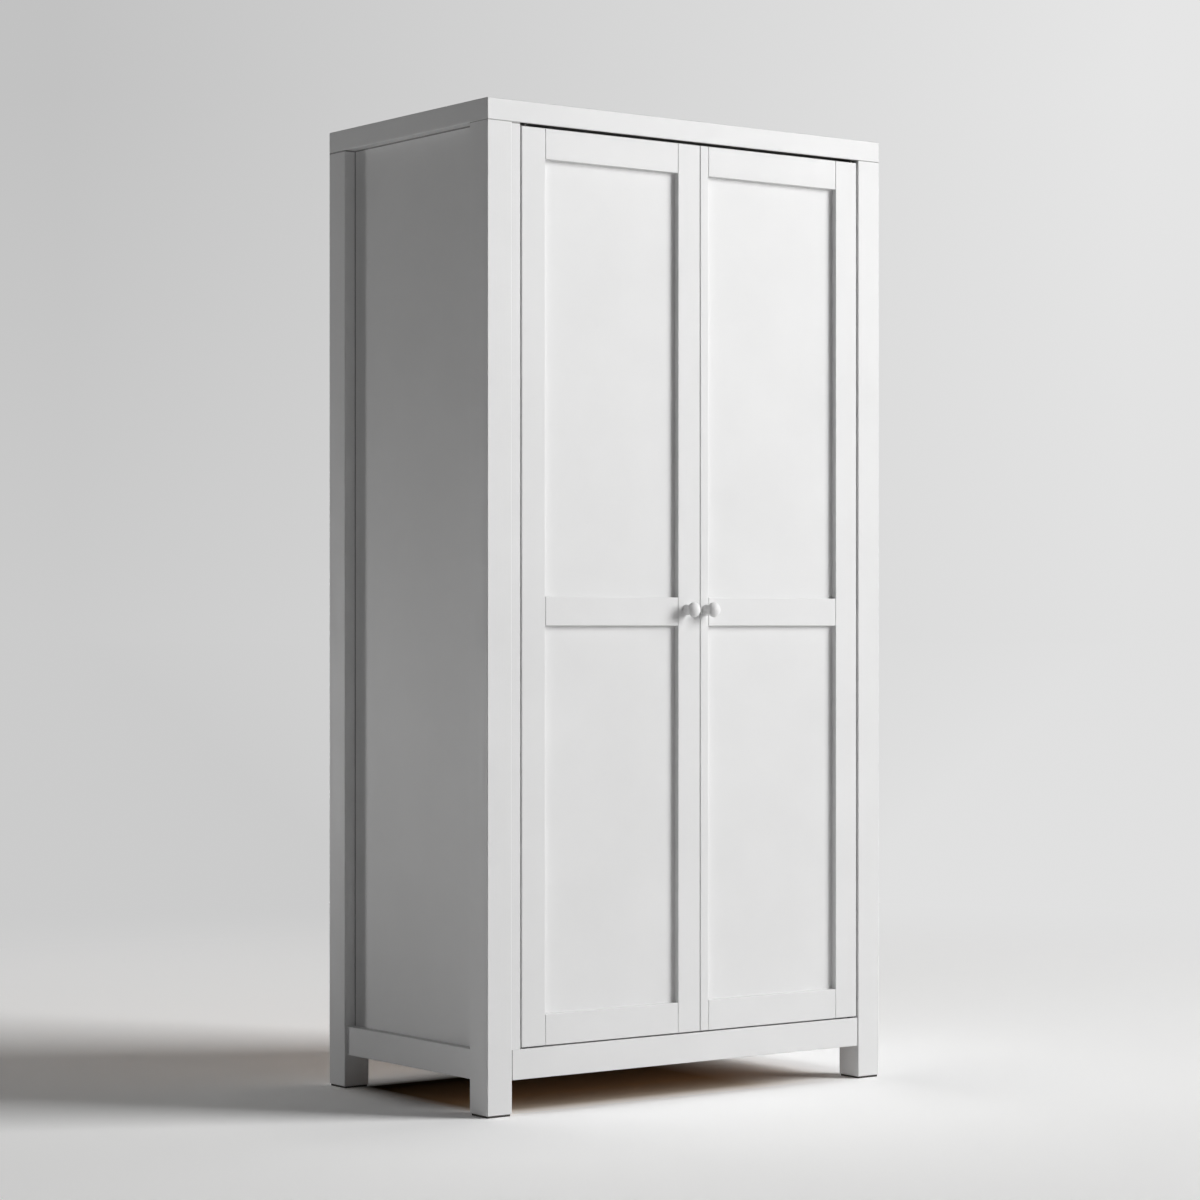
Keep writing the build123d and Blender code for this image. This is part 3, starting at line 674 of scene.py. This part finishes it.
def floor_finish():
    """A matt pale floor that takes the shadow and turns into the backdrop's grey further away."""
    material, tree, shader = new_material("floor_finish")
    tree.nodes.remove(shader)
    rays = add(tree, "ShaderNodeLightPath").outputs
    place = add(tree, "ShaderNodeTexCoord").outputs["Object"]
    near = near_floor(tree, place, rays["Is Camera Ray"])
    direction = add(tree, "ShaderNodeVectorMath", {0: place}, operation="NORMALIZE").outputs["Vector"]
    far = add(tree, "ShaderNodeEmission", {"Color": backdrop_colour(tree, direction)})
    away = add(tree, "ShaderNodeVectorMath", {0: place}, operation="LENGTH").outputs["Value"]
    fade = ranged(tree, away, 0.0, 1.0, FLOOR_FADE_START, FLOOR_FADE_END, "SMOOTHSTEP")
    share = product(tree, fade, shown_ray(tree, rays))
    surface = add(tree, "ShaderNodeMixShader", {0: share, 1: near.outputs[0], 2: far.outputs[0]})
    tree.links.new(surface.outputs[0], tree.nodes["Material Output"].inputs["Surface"])
    return material


def stage_floor():
    """A wide floor under the wardrobe."""
    shape = bmesh.new()
    bmesh.ops.create_grid(shape, x_segments=1, y_segments=1, size=FLOOR_HALF)
    add_object("floor", shape, floor_finish())


def soft_lamp(name, turn, rise, distance, size, brightness):
    """A rectangular lamp, which the camera doesn't see, turned and raised round the wardrobe's middle."""
    turn, rise, aim = math.radians(turn), math.radians(rise), Vector(LAMP_AIM)
    flat = distance * math.cos(rise)
    light = bpy.data.lights.new(name, "AREA")
    light.shape = "RECTANGLE"
    light.size, light.size_y = size
    light.energy = brightness * (math.pi * distance) ** 2
    lamp = bpy.data.objects.new(name, light)
    lamp.location = aim + Vector((flat * math.sin(turn), -flat * math.cos(turn), distance * math.sin(rise)))
    lamp.rotation_euler = (aim - lamp.location).to_track_quat("-Z", "Y").to_euler()
    lamp.visible_camera = False
    scene.collection.objects.link(lamp)


def studio_world():
    """An even grey light, with the pale backdrop where the camera or a shiny piece looks past the floor."""
    world = bpy.data.worlds.new("studio")
    scene.world = world
    world.use_nodes = True
    tree = world.node_tree
    tree.nodes.clear()
    rays = add(tree, "ShaderNodeLightPath").outputs
    light = add(tree, "ShaderNodeBackground", Color=WHITE, Strength=WORLD_LIGHT)
    direction = add(tree, "ShaderNodeTexCoord").outputs["Generated"]
    backdrop = add(tree, "ShaderNodeBackground", {"Color": backdrop_colour(tree, direction)})
    links = {0: shown_ray(tree, rays), 1: light.outputs[0], 2: backdrop.outputs[0]}
    pick = add(tree, "ShaderNodeMixShader", links)
    add(tree, "ShaderNodeOutputWorld", {"Surface": pick.outputs[0]})


def photo_camera():
    """A level camera at the photograph's place, shifted so that the horizon falls where it does there."""
    lens = bpy.data.cameras.new("photo_camera")
    lens.sensor_width = SENSOR_MM
    lens.lens = SENSOR_MM * FOCAL_LENGTH_PX / IMAGE_WIDTH_PX
    lens.shift_y = (HORIZON_PX - IMAGE_WIDTH_PX / 2) / IMAGE_WIDTH_PX
    lens.clip_end = VIEW_END
    camera = bpy.data.objects.new("photo_camera", lens)
    camera.location = CAMERA_PLACE
    camera.rotation_euler = (math.radians(90), 0, math.radians(-CAMERA_YAW))
    scene.collection.objects.link(camera)
    scene.camera = camera


stage_floor()
for lamp_name, lamp_setting in LAMPS.items():
    soft_lamp(lamp_name, *lamp_setting)
studio_world()
photo_camera()
